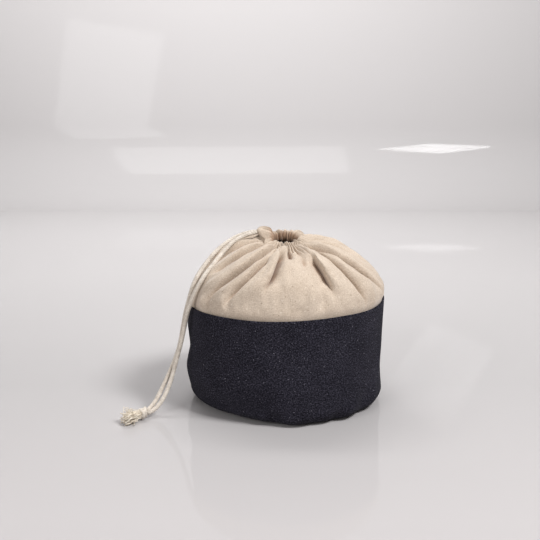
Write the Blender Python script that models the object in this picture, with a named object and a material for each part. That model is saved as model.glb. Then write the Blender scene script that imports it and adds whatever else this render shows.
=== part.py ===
"""Round bread bag with a drawn mouth: denim base and wall, linen top, cotton drawcord.

Metres, +Z up. The bag stands on z = 0 with its axis on the origin and its front at -Y.
The drawcord leaves the casing on the left, at -X, and its knot lies on the same surface.
"""
from collections import namedtuple
from math import ceil, cos, exp, hypot, pi, radians, sin

import bmesh
import bpy
from mathutils import Vector

MM = 0.001

# Denim base and wall, in millimetres
SEAM_RADIUS = 95.0
FLAT_RADIUS = 80.0
BASE_CENTRE_RADIUS = 36.0
DENIM_THICKNESS = 1.8
SEW_GAP = 0.4
SHOULDER_HEIGHT = 88.0
WAIST_HEIGHT = 64.0
BELLY_HEIGHT = 38.0
FOOT_HEIGHT = 15.0
CORNER_STEPS = 5
WALL_STEPS = 7
WALL_COLUMNS = 72

# Linen top, in millimetres
LINEN_THICKNESS = 1.7
MEAN_RIM_HEIGHT = 115.0
MEAN_RIM_RADIUS = 112.0
RIM_LEVEL = 1
CASING_RADIUS = 27.0
OPEN_DOME_RADIUS = 46.0
FAN_RADIUS = 111.0
FAN_POWER = 3.0
CREASE_POWER = 1.3
TOP_FADE = 16.0

# Ear: the end of the casing that stands up where the cord leaves it
EAR_ANGLE = 180.0
EAR_SPREAD = 24.0

# Drawcord, in millimetres
CORD_DIAMETER = 5.0
CORD_STEP = 6.2
KNOT_CENTRE = (-152.6, -81.0, 6.9)
KNOT_HEADING = -134.0
KNOT_LENGTH = 13.0
KNOT_RADIUS = 5.6
KNOT_WRAP = 1.1
KNOT_TAPER = 0.22
KNOT_WRAP_TURNS = 1.5
KNOT_RINGS = 12
KNOT_COLUMNS = 20

# Frayed ends: a backing beside the knot with one strand on each cell of its face
FRAY_GAP = 0.4
FRAY_LENGTH = 20.0
FRAY_ROOT_RADIUS = 5.0
FRAY_TIP_RADIUS = 6.4
FRAY_DROOP = 1.0
FRAY_BACKING = 2.4
FRAY_CELLS = 7
FRAY_INSET = 0.26
FRAY_BENDS = (0.45, 1.0)
FRAY_THINNING = 0.2
FRAY_UNEVEN = 0.14
FRAY_UNEVEN_STEP = 2.4
FRAY_SHORTER_BELOW = 0.14

# One row for each section of the wall: heights and outer radii in millimetres
WallRow = namedtuple("WallRow", "angle rim_height rim shoulder waist belly foot seam_lift")
WALL_ROWS = (
    WallRow(-180, 113.0, 110.2, 112.8, 110.6, 114.2, 110.4, 1.6),
    WallRow(-150, 113.3, 111.2, 112.4, 111.6, 113.0, 106.6, 3.6),
    WallRow(-126, 113.8, 111.8, 111.8, 112.4, 111.8, 105.0, 4.2),
    WallRow(-106, 113.6, 112.0, 111.4, 112.2, 111.2, 106.2, 3.2),
    WallRow(-88, 114.4, 112.0, 111.6, 111.6, 112.8, 111.0, 1.0),
    WallRow(-60, 116.2, 112.4, 112.0, 111.4, 112.2, 111.2, 0.6),
    WallRow(-34, 116.8, 113.2, 112.4, 111.8, 111.4, 111.8, 0.6),
    WallRow(-9, 119.6, 114.0, 112.8, 112.2, 111.2, 113.0, 0.6),
    WallRow(20, 119.0, 113.2, 112.2, 112.6, 112.0, 111.6, 0.8),
    WallRow(52, 116.8, 112.0, 111.4, 112.4, 113.0, 110.4, 1.6),
    WallRow(90, 115.4, 112.2, 112.4, 111.6, 112.4, 111.0, 0.8),
    WallRow(126, 114.8, 111.6, 112.6, 112.0, 111.4, 110.0, 1.4),
    WallRow(156, 113.8, 111.0, 112.0, 112.6, 112.4, 110.8, 1.0),
)

# One row for each level of the linen, from its tuck in the wall to the hem inside the mouth.
# follow: how far the level follows the wall's rim; skew: fuller on the right; tilt: front low,
# back high; gather: depth of the small gathers; ear_out and ear_up: the ear's reach and rise.
DomeRow = namedtuple("DomeRow", "radius height follow skew tilt gather ear_out ear_up")
DOME_ROWS = (
    DomeRow(109.6, 105.0, 1.00, 0.0, 0.0, 0.0, 0.0, 0.0),
    DomeRow(109.7, 115.4, 1.00, 0.0, 0.0, 0.0, 0.0, 0.0),
    DomeRow(111.4, 122.5, 0.80, 0.8, 0.0, 0.0, 0.0, 0.0),
    DomeRow(110.2, 132.0, 0.55, 1.8, 0.0, 0.0, 0.0, 0.0),
    DomeRow(105.8, 142.0, 0.35, 1.8, 0.2, 0.0, 0.0, 0.0),
    DomeRow(99.0, 151.5, 0.15, 1.8, 0.5, 0.2, 0.0, 0.0),
    DomeRow(90.2, 160.8, 0.05, 2.0, 0.9, 0.5, 0.0, 0.0),
    DomeRow(80.0, 170.2, 0.00, 2.0, 1.5, 0.9, 0.0, 0.0),
    DomeRow(68.4, 177.8, 0.00, 1.6, 2.4, 1.4, 0.0, 0.0),
    DomeRow(56.4, 183.4, 0.00, 1.0, 3.4, 2.0, 0.0, 0.0),
    DomeRow(44.6, 186.2, 0.00, 0.4, 4.2, 2.6, 0.0, 0.0),
    DomeRow(34.8, 186.6, 0.00, 0.0, 4.7, 3.0, 1.0, 1.0),
    DomeRow(28.4, 186.0, 0.00, 0.0, 4.9, 2.6, 3.0, 4.5),
    DomeRow(25.4, 186.4, 0.00, 0.0, 4.9, 1.8, 5.6, 8.6),
    DomeRow(22.4, 187.8, 0.00, 0.0, 4.8, 1.4, 6.0, 10.6),
    DomeRow(19.0, 188.4, 0.00, 0.0, 4.7, 1.2, 4.0, 10.4),
    DomeRow(15.8, 187.0, 0.00, 0.0, 4.6, 1.1, 1.5, 10.2),
    DomeRow(14.2, 183.4, 0.00, 0.0, 4.5, 1.0, 0.4, 7.5),
    DomeRow(13.8, 178.0, 0.00, 0.0, 4.4, 1.0, 0.0, 2.0),
    DomeRow(14.8, 172.0, 0.00, 0.0, 4.2, 0.9, 0.0, 0.0),
)

# One row for each main fold of the linen, counted round from the left over the front.
# Angles in degrees at the mouth and at the rim; low, full and top: how far up the cloth from
# the rim the fold begins, is deepest and fades, depth and width, all in millimetres; lean:
# above zero, the side at the lesser angle is the steep one; gathers: small gathers before
# the next fold.
FoldRow = namedtuple("FoldRow", "mouth rim low full top depth width lean gathers")
FOLD_ROWS = (
    FoldRow(-158, -167, 40, 70, 118, 12.0, 9.0, 0.2, 1),
    FoldRow(-131, -156, 40, 58, 110, 12.0, 8.0, 0.3, 1),
    FoldRow(-108, -140, 0, 40, 104, 12.0, 9.0, 0.3, 1),
    FoldRow(-100, -126, 8, 34, 66, 8.0, 7.0, 0.3, 1),
    FoldRow(-92, -104, 30, 64, 84, 10.0, 10.0, 0.4, 1),
    FoldRow(-83, -92, 78, 92, 106, 9.0, 6.0, 0.3, 1),
    FoldRow(-73, -78, 50, 80, 108, 6.0, 8.0, 0.0, 1),
    FoldRow(-64, -64, 22, 56, 72, 10.0, 10.0, -0.2, 1),
    FoldRow(-53, -41, -4, 46, 108, 8.0, 7.0, -0.2, 1),
    FoldRow(-45, -18, 0, 52, 108, 10.0, 9.0, -0.3, 1),
    FoldRow(-20, 2, 44, 80, 112, 5.0, 9.0, 0.0, 1),
    FoldRow(0, 17, 36, 74, 112, 7.0, 8.0, 0.2, 1),
    FoldRow(21, 35, 26, 70, 112, 10.0, 9.0, 0.3, 1),
    FoldRow(41, 51, 44, 78, 112, 7.0, 8.0, 0.0, 1),
    FoldRow(61, 68, 24, 60, 112, 12.0, 9.0, -0.3, 1),
    FoldRow(81, 85, 46, 74, 112, 8.0, 8.0, 0.0, 1),
    FoldRow(101, 103, 28, 60, 112, 11.0, 9.0, 0.3, 1),
    FoldRow(121, 121, 44, 72, 112, 8.0, 8.0, 0.0, 1),
    FoldRow(141, 139, 22, 60, 112, 11.0, 9.0, -0.2, 1),
    FoldRow(161, 158, 44, 72, 112, 8.0, 8.0, 0.0, 1),
    FoldRow(181, 177, 36, 66, 108, 7.0, 8.0, 0.0, 1),
)
MAIN_SHARES = (0.0, 0.18, 0.5)
GATHER_SHARES = (0.0, 0.5, 0.82)
GATHER_WIDTH_SHARE = 0.26
MAIN_WIDTH_SHARE = 0.34

# Route points of the two strands, in millimetres, from the casing to the knot
FRONT_ROUTE = (
    (-31.8, -2.7, 193.0), (-43.0, -6.0, 190.4), (-52.0, -11.0, 186.8), (-59.5, -16.0, 182.6),
    (-71.2, -28.0, 170.8), (-78.6, -38.7, 162.7), (-85.7, -47.4, 154.4), (-91.3, -51.3, 146.4),
    (-97.1, -52.0, 136.4), (-101.2, -51.0, 127.6), (-107.8, -48.8, 109.0), (-112.1, -49.5, 88.8),
    (-115.6, -51.5, 73.8), (-119.2, -54.2, 60.4), (-123.8, -58.8, 43.0), (-127.6, -62.8, 31.0),
    (-132.4, -67.4, 20.4), (-138.6, -71.6, 11.2), (-145.4, -77.3, 6.8),
)
BACK_ROUTE = (
    (-31.8, 2.9, 193.1), (-43.2, 3.0, 191.4), (-52.4, 1.0, 188.5), (-60.3, -2.0, 185.0),
    (-75.4, -12.0, 174.8), (-84.7, -21.0, 165.2), (-92.6, -31.0, 154.8), (-98.2, -36.0, 146.0),
    (-101.9, -37.6, 138.0), (-105.4, -38.2, 127.0), (-110.8, -38.8, 107.0), (-114.4, -42.2, 87.0),
    (-117.3, -45.2, 72.0), (-121.6, -48.4, 58.4), (-127.6, -53.0, 44.0), (-133.4, -58.2, 32.0),
    (-138.2, -62.6, 22.4), (-143.0, -66.8, 13.8), (-148.8, -72.9, 7.6),
)

MATERIALS = {
    "denim": ((0.016, 0.017, 0.026, 1.0), 0.92),
    "linen": ((0.62, 0.53, 0.43, 1.0), 0.9),
    "cotton": ((0.66, 0.57, 0.46, 1.0), 0.88),
}


def clear_scene():
    for thing in list(bpy.data.objects):
        bpy.data.objects.remove(thing, do_unlink=True)


def make_material(name):
    colour, roughness = MATERIALS[name]
    material = bpy.data.materials.new(name)
    material.use_nodes = True
    shader = material.node_tree.nodes["Principled BSDF"]
    shader.inputs["Base Color"].default_value = colour
    shader.inputs["Roughness"].default_value = roughness
    shader.inputs["Metallic"].default_value = 0.0
    return material


def smoothstep(low, high, value):
    share = min(1.0, max(0.0, (value - low) / (high - low)))
    return share * share * (3.0 - 2.0 * share)


def wrap(angle):
    return (angle + 180.0) % 360.0 - 180.0


def hermite(before, start, end, after, share):
    """Smooth value between start and end; each argument is a (place, value) pair."""
    span = end[0] - start[0]
    slope_in = (end[1] - before[1]) / (end[0] - before[0]) * span
    slope_out = (after[1] - start[1]) / (after[0] - start[0]) * span
    square = share * share
    cube = square * share
    return (
        (2 * cube - 3 * square + 1) * start[1]
        + (cube - 2 * square + share) * slope_in
        + (3 * square - 2 * cube) * end[1]
        + (cube - square) * slope_out
    )


def smooth_line(pairs, place):
    """Value at a place on the smooth curve through (place, value) pairs in rising order."""
    last = len(pairs) - 1
    index = 0
    while index < last - 1 and place > pairs[index + 1][0]:
        index += 1
    start = pairs[index]
    end = pairs[index + 1]
    before = pairs[index - 1] if index > 0 else (2 * start[0] - end[0], 2 * start[1] - end[1])
    after = pairs[index + 2] if index + 2 <= last else (2 * end[0] - start[0], 2 * end[1] - start[1])
    return hermite(before, start, end, after, (place - start[0]) / (end[0] - start[0]))


def wall_value(field, angle):
    """A wall section's value at any angle, smooth all the way round."""
    count = len(WALL_ROWS)
    pairs = []
    for turn in (-1, 0, 1):
        for row in WALL_ROWS:
            pairs.append((row.angle + 360.0 * turn, getattr(row, field)))
    first = count
    target = wrap(angle)
    while pairs[first + 1][0] <= target:
        first += 1
    start = pairs[first]
    end = pairs[first + 1]
    share = (target - start[0]) / (end[0] - start[0])
    return hermite(pairs[first - 1], start, end, pairs[first + 2], share)


def wall_section(angle):
    """Outer line of the wall at one angle, from the base seam up to the rim."""
    foot = wall_value("foot", angle)
    lift = wall_value("seam_lift", angle)
    line = []
    for step in range(CORNER_STEPS):
        turn = 0.5 * pi * step / CORNER_STEPS
        radius = SEAM_RADIUS + (foot - SEAM_RADIUS) * sin(turn)
        line.append((radius, lift + (FOOT_HEIGHT - lift) * (1 - cos(turn))))
    rim_height = wall_value("rim_height", angle)
    pairs = (
        (FOOT_HEIGHT, foot),
        (BELLY_HEIGHT, wall_value("belly", angle)),
        (WAIST_HEIGHT, wall_value("waist", angle)),
        (SHOULDER_HEIGHT, wall_value("shoulder", angle)),
        (rim_height, wall_value("rim", angle)),
    )
    for step in range(WALL_STEPS + 1):
        height = FOOT_HEIGHT + (rim_height - FOOT_HEIGHT) * step / WALL_STEPS
        line.append((smooth_line(pairs, height), height))
    return line


def offset_section(line, distance):
    """The same line moved to its left, which is towards the inside of the bag."""
    moved = []
    for index, (radius, height) in enumerate(line):
        before = line[max(index - 1, 0)]
        after = line[min(index + 1, len(line) - 1)]
        run = after[0] - before[0]
        rise = after[1] - before[1]
        size = hypot(run, rise)
        moved.append((radius - rise / size * distance, height + run / size * distance))
    return moved


def polar(radius, angle, height):
    return Vector((radius * cos(radians(angle)), radius * sin(radians(angle)), height)) * MM


def finish_object(name, bm, material):
    bmesh.ops.recalc_face_normals(bm, faces=bm.faces[:])
    mesh = bpy.data.meshes.new(name)
    bm.to_mesh(mesh)
    bm.free()
    mesh.shade_smooth()
    mesh.materials.append(material)
    piece = bpy.data.objects.new(name, mesh)
    bpy.context.collection.objects.link(piece)
    return piece


def bridge_rows(bm, lower, upper):
    count = len(lower)
    for index in range(count):
        following = (index + 1) % count
        bm.faces.new((lower[index], lower[following], upper[following], upper[index]))


def shell(name, outer_rows, inner_rows, material):
    """Closed wall between two lofts with the same rows, joined at both ends."""
    bm = bmesh.new()
    outer = [[bm.verts.new(point) for point in row] for row in outer_rows]
    inner = [[bm.verts.new(point) for point in row] for row in inner_rows]
    for rows in (outer, inner):
        for index in range(len(rows) - 1):
            bridge_rows(bm, rows[index], rows[index + 1])
    bridge_rows(bm, outer[0], inner[0])
    bridge_rows(bm, outer[-1], inner[-1])
    return finish_object(name, bm, material)


def wall_angles():
    return [360.0 * column / WALL_COLUMNS - 180.0 for column in range(WALL_COLUMNS)]


def denim_wall(material):
    angles = wall_angles()
    outer_lines = [wall_section(angle) for angle in angles]
    inner_lines = [offset_section(line, DENIM_THICKNESS) for line in outer_lines]
    sides = []
    for lines in (outer_lines, inner_lines):
        levels = zip(*lines)
        sides.append([
            [polar(radius, angle, height) for (radius, height), angle in zip(level, angles)]
            for level in levels
        ])
    return shell("denim_wall", sides[0], sides[1], material)


def denim_base(material):
    """Round panel, flat where it rests, with its edge drawn up to the wall's seam."""
    edge = SEAM_RADIUS - SEW_GAP
    bm = bmesh.new()
    rings = []
    for top in (0.0, DENIM_THICKNESS):
        side = []
        for radius in (BASE_CENTRE_RADIUS, FLAT_RADIUS, 0.5 * (FLAT_RADIUS + edge), edge):
            rise = smoothstep(FLAT_RADIUS, edge, radius)
            ring = []
            for angle in wall_angles():
                height = top + rise * wall_value("seam_lift", angle)
                ring.append(bm.verts.new(polar(radius, angle, height)))
            side.append(ring)
        rings.append(side)
    for top, side in zip((0.0, DENIM_THICKNESS), rings):
        centre = bm.verts.new(polar(0.0, 0.0, top))
        for index in range(WALL_COLUMNS):
            bm.faces.new((centre, side[0][index], side[0][(index + 1) % WALL_COLUMNS]))
        for index in range(len(side) - 1):
            bridge_rows(bm, side[index], side[index + 1])
    bridge_rows(bm, rings[0][-1], rings[1][-1])
    return finish_object("denim_base", bm, material)


def all_valleys():
    """Every valley of the linen as (mouth angle, rim angle, main fold or None, column shares)."""
    valleys = []
    count = len(FOLD_ROWS)
    for index, fold in enumerate(FOLD_ROWS):
        following = FOLD_ROWS[(index + 1) % count]
        turn = 360.0 if index == count - 1 else 0.0
        valleys.append((fold.mouth, fold.rim, fold, MAIN_SHARES))
        for number in range(fold.gathers):
            share = (number + 1.0) / (fold.gathers + 1.0)
            mouth = fold.mouth + (following.mouth + turn - fold.mouth) * share
            rim = fold.rim + (following.rim + turn - fold.rim) * share
            valleys.append((mouth, rim, None, GATHER_SHARES))
    return valleys


def fan(mouth, rim, radius):
    """Angle of a fold line at a radius: it swings from its mouth angle to its rim angle."""
    return mouth + (rim - mouth) * min(radius / FAN_RADIUS, 1.0) ** FAN_POWER


def column_angles(valleys):
    """Mouth and rim angle of each column of points, with one on every valley."""
    angles = []
    count = len(valleys)
    for index, (mouth, rim, _, shares) in enumerate(valleys):
        following = valleys[(index + 1) % count]
        turn = 360.0 if index == count - 1 else 0.0
        for share in shares:
            angles.append((
                mouth + (following[0] + turn - mouth) * share,
                rim + (following[1] + turn - rim) * share,
            ))
    return angles


def climb_to(level):
    """Length of cloth from the rim up to a level of the linen."""
    length = 0.0
    for before, after in zip(DOME_ROWS[RIM_LEVEL:level], DOME_ROWS[RIM_LEVEL + 1:level + 1]):
        length += hypot(after.radius - before.radius, after.height - before.height)
    return length


def fold_depth(angle, level, valleys):
    """How far the linen is drawn in at a level of the linen, in millimetres."""
    radius = DOME_ROWS[level].radius
    gather = DOME_ROWS[level].gather
    climb = climb_to(level)
    pitch = 2.0 * pi * radius / len(valleys)
    depth = 0.0
    for mouth, rim, fold, _ in valleys:
        away = radians(wrap(angle - fan(mouth, rim, radius))) * radius
        width = GATHER_WIDTH_SHARE * pitch
        depth += gather * exp(-((abs(away) / width) ** CREASE_POWER))
        if fold is None:
            continue
        amount = smoothstep(fold.low, fold.full, climb)
        amount *= 1.0 - smoothstep(fold.top, fold.top + TOP_FADE, climb)
        amount *= smoothstep(CASING_RADIUS, OPEN_DOME_RADIUS, radius)
        width = min(fold.width, MAIN_WIDTH_SHARE * 2.0 * pitch)
        width *= 1.0 + fold.lean * (1.0 if away > 0.0 else -1.0)
        depth += fold.depth * amount * exp(-((abs(away) / width) ** CREASE_POWER))
    return depth


def dome_line(angle):
    """Line of the linen before its folds are drawn in, as (radius, height) pairs."""
    rim_radius = wall_value("rim", angle) - MEAN_RIM_RADIUS
    rim_height = wall_value("rim_height", angle) - MEAN_RIM_HEIGHT
    side = cos(radians(angle))
    back = sin(radians(angle))
    ear = exp(-((wrap(angle - EAR_ANGLE) / EAR_SPREAD) ** 2))
    line = []
    for row in DOME_ROWS:
        radius = row.radius + row.follow * rim_radius + row.skew * side + row.ear_out * ear
        height = row.height + row.follow * rim_height + row.tilt * back + row.ear_up * ear
        line.append((radius, height))
    return line


def linen_top(material):
    valleys = all_valleys()
    columns = column_angles(valleys)
    outer = [[] for _ in DOME_ROWS]
    inner = [[] for _ in DOME_ROWS]
    for mouth, rim in columns:
        for index, row in enumerate(DOME_ROWS):
            angle = fan(mouth, rim, row.radius)
            line = dome_line(angle)
            before = line[max(index - 1, 0)]
            after = line[min(index + 1, len(line) - 1)]
            run = after[0] - before[0]
            rise = after[1] - before[1]
            size = hypot(run, rise)
            radius, height = line[index]
            drawn = fold_depth(angle, index, valleys)
            for rows, depth in ((outer, drawn), (inner, drawn + LINEN_THICKNESS)):
                reach = radius - rise / size * depth
                rows[index].append(polar(reach, angle, height + run / size * depth))
    return shell("linen_top", outer, inner, material)


def route_points(route):
    """Evenly spaced points on the smooth curve through a cord's route points."""
    knots = [0.0]
    for start, end in zip(route, route[1:]):
        knots.append(knots[-1] + (Vector(end) - Vector(start)).length)
    axes = [[(place, point[axis]) for place, point in zip(knots, route)] for axis in range(3)]
    steps = ceil(knots[-1] / CORD_STEP)
    points = []
    for step in range(steps + 1):
        place = knots[-1] * step / steps
        points.append(Vector([smooth_line(pairs, place) for pairs in axes]) * MM)
    return points


def cord_strand(name, route, material):
    curve = bpy.data.curves.new(name, "CURVE")
    curve.dimensions = "3D"
    curve.bevel_depth = 0.5 * CORD_DIAMETER * MM
    curve.bevel_resolution = 2
    curve.use_fill_caps = True
    points = route_points(route)
    spline = curve.splines.new("POLY")
    spline.points.add(len(points) - 1)
    for place, point in zip(spline.points, points):
        place.co = (*point, 1.0)
    curve.materials.append(material)
    strand = bpy.data.objects.new(name, curve)
    bpy.context.collection.objects.link(strand)
    return strand


def cord_knot(material):
    """Overhand knot as one lump with its wraps raised, along its own +X."""
    bm = bmesh.new()
    rings = []
    for ring in range(KNOT_RINGS + 1):
        along = -1.0 + 2.0 * ring / KNOT_RINGS
        envelope = KNOT_RADIUS * (1.0 - KNOT_TAPER * abs(along) ** 3)
        points = []
        for column in range(KNOT_COLUMNS):
            turn = 2.0 * pi * column / KNOT_COLUMNS
            wraps = abs(cos(KNOT_WRAP_TURNS * pi * along + turn)) * (1.0 - along ** 4)
            radius = envelope + KNOT_WRAP * wraps
            place = Vector((0.5 * KNOT_LENGTH * along, radius * cos(turn), radius * sin(turn)))
            points.append(bm.verts.new(place * MM))
        rings.append(points)
    for lower, upper in zip(rings, rings[1:]):
        bridge_rows(bm, lower, upper)
    bm.faces.new(rings[0])
    bm.faces.new(rings[-1])
    knot = finish_object("drawcord_knot", bm, material)
    place_at_knot(knot, 0.0)
    return knot


def place_at_knot(piece, along):
    heading = radians(KNOT_HEADING)
    offset = Vector((cos(heading), sin(heading), 0.0)) * along
    piece.rotation_euler = (0.0, 0.0, heading)
    piece.location = (Vector(KNOT_CENTRE) + offset) * MM


def disc_place(across, up):
    """A square grid's point moved onto a disc of the same reach."""
    return across * (1.0 - 0.5 * up * up) ** 0.5, up * (1.0 - 0.5 * across * across) ** 0.5


def cord_fray(material):
    """Cut ends combed out into strands, rooted in a short backing beside the knot."""
    bm = bmesh.new()
    grids = []
    for depth in (0.0, FRAY_BACKING):
        grid = []
        for row in range(FRAY_CELLS + 1):
            line = []
            for column in range(FRAY_CELLS + 1):
                across, up = disc_place(2.0 * column / FRAY_CELLS - 1.0, 2.0 * row / FRAY_CELLS - 1.0)
                place = Vector((depth, FRAY_ROOT_RADIUS * across, FRAY_ROOT_RADIUS * up))
                line.append(bm.verts.new(place * MM))
            grid.append(line)
        grids.append(grid)
    grid_faces(bm, grids[0])
    cells = grid_faces(bm, grids[1])
    border = [(0, column) for column in range(FRAY_CELLS)]
    border += [(row, FRAY_CELLS) for row in range(FRAY_CELLS)]
    border += [(FRAY_CELLS, FRAY_CELLS - column) for column in range(FRAY_CELLS)]
    border += [(FRAY_CELLS - row, 0) for row in range(FRAY_CELLS)]
    near = [grids[0][row][column] for row, column in border]
    far = [grids[1][row][column] for row, column in border]
    bridge_rows(bm, near, far)
    bmesh.ops.recalc_face_normals(bm, faces=bm.faces[:])
    bmesh.ops.inset_individual(bm, faces=cells, thickness=FRAY_INSET * MM)
    comb_out(bm, cells)
    fray = finish_object("drawcord_fray", bm, material)
    place_at_knot(fray, 0.5 * KNOT_LENGTH + FRAY_GAP)
    return fray


def grid_faces(bm, grid):
    faces = []
    for lower, upper in zip(grid, grid[1:]):
        for column in range(FRAY_CELLS):
            corners = (lower[column], lower[column + 1], upper[column + 1], upper[column])
            faces.append(bm.faces.new(corners))
    return faces


def comb_out(bm, cells):
    """Each cell grows into one strand that leans outwards, droops and thins to its tip."""
    for number, cell in enumerate(cells):
        centre = cell.calc_center_median() / MM
        uneven = 1.0 - FRAY_UNEVEN * (1.0 - sin(FRAY_UNEVEN_STEP * number))
        below = min(centre.z / FRAY_ROOT_RADIUS, 0.0)
        length = FRAY_LENGTH * uneven * (1.0 + FRAY_SHORTER_BELOW * below)
        face = cell
        for share in FRAY_BENDS:
            grown = bmesh.ops.extrude_discrete_faces(bm, faces=[face])["faces"][0]
            spread = 1.0 + (FRAY_TIP_RADIUS / FRAY_ROOT_RADIUS - 1.0) * share
            sideways = centre.y * spread
            upwards = centre.z * spread - FRAY_DROOP * share
            target = Vector((FRAY_BACKING + length * share, sideways, upwards)) * MM
            middle = grown.calc_center_median()
            narrow = 1.0 - FRAY_THINNING * share
            for vert in grown.verts:
                vert.co = target + (vert.co - middle) * narrow
            face = grown


def build():
    clear_scene()
    denim = make_material("denim")
    linen = make_material("linen")
    cotton = make_material("cotton")
    denim_base(denim)
    denim_wall(denim)
    linen_top(linen)
    cord_strand("drawcord_front", FRONT_ROUTE, cotton)
    cord_strand("drawcord_back", BACK_ROUTE, cotton)
    cord_knot(cotton)
    cord_fray(cotton)


build()
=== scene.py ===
"""Looks of the bread bag: denim base and wall, gathered linen top and cotton drawcord."""
from collections import namedtuple
from math import ceil, cos, hypot, pi, radians, sin

import bpy
import numpy as np
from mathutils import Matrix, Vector


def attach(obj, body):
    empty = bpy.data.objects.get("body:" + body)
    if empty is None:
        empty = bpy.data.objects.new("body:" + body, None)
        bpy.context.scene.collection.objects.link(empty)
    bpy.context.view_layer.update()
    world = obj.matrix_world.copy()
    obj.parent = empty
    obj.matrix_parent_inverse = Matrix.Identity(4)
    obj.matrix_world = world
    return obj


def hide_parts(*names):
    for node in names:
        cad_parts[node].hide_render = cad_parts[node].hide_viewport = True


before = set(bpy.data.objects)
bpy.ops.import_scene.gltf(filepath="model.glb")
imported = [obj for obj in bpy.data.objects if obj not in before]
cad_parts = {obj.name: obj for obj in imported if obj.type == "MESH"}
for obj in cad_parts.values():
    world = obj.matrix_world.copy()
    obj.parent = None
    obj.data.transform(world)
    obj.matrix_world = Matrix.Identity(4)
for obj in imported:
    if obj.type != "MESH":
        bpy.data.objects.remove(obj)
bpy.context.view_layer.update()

MM = 0.001

# Camera, where the photograph was taken from
CAMERA_PLACE = (-0.017, -0.85, 0.2986)
CAMERA_TILT = 80.0
CAMERA_LENS = 50.0
CAMERA_SENSOR = 36.0

# Denim base and wall, in millimetres, as in the solids
SEAM_RADIUS = 95.0
DENIM_THICKNESS = 1.8
SHOULDER_HEIGHT = 88.0
WAIST_HEIGHT = 64.0
BELLY_HEIGHT = 38.0
FOOT_HEIGHT = 15.0
CORNER_STEPS = 14
WALL_STEPS = 54
WALL_COLUMNS = 420
EDGE_STEPS = 4

# Linen top, in millimetres: the solids' measures, with a finer mouth and ear
LINEN_SHEET = 1.1
MEAN_RIM_HEIGHT = 115.0
MEAN_RIM_RADIUS = 112.0
RIM_LEVEL = 1
CASING_RADIUS = 24.0
OPEN_DOME_RADIUS = 33.0
FAN_RADIUS = 111.0
FAN_POWER = 3.0
CREASE_POWER = 1.3
EAR_ANGLE = 180.0
EAR_SPREAD = 24.0
EAR_POWER = 3.4
RIM_FAN_WIDTH = 100.0
EVEN_SHARE = 0.35
MAIN_WIDTH_SHARE = 0.34
LINEN_STATIONS = 98
LINEN_COLUMNS_PER_VALLEY = 10
MOUTH_STATION_SHARE = 0.46

# Flat sizes of the cloths, in metres
WALL_FLAT = (0.704, 0.130)

# Drawcord, in millimetres
CORD_DIAMETER = 5.0
CORD_STEP = 6.2
KNOT_CENTRE = (-152.6, -81.0, 6.9)
KNOT_HEADING = -134.0
KNOT_LENGTH = 13.0

WallRow = namedtuple("WallRow", "angle rim_height rim shoulder waist belly foot seam_lift")
WALL_ROWS = (
    WallRow(-180, 113.0, 110.2, 112.8, 110.6, 114.2, 110.4, 1.6),
    WallRow(-150, 113.3, 111.2, 112.4, 111.6, 113.0, 106.6, 3.6),
    WallRow(-126, 113.8, 111.8, 111.8, 112.4, 111.8, 105.0, 4.2),
    WallRow(-106, 113.6, 112.0, 111.4, 112.2, 111.2, 106.2, 3.2),
    WallRow(-88, 114.4, 112.0, 111.6, 111.6, 112.8, 111.0, 1.0),
    WallRow(-60, 116.2, 112.4, 112.0, 111.4, 112.2, 111.2, 0.6),
    WallRow(-34, 116.8, 113.2, 112.4, 111.8, 111.4, 111.8, 0.6),
    WallRow(-9, 119.6, 114.0, 112.8, 112.2, 111.2, 113.0, 0.6),
    WallRow(20, 119.0, 113.2, 112.2, 112.6, 112.0, 111.6, 0.8),
    WallRow(52, 116.8, 112.0, 111.4, 112.4, 113.0, 110.4, 1.6),
    WallRow(90, 115.4, 112.2, 112.4, 111.6, 112.4, 111.0, 0.8),
    WallRow(126, 114.8, 111.6, 112.6, 112.0, 111.4, 110.0, 1.4),
    WallRow(156, 113.8, 111.0, 112.0, 112.6, 112.4, 110.8, 1.0),
)

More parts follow.
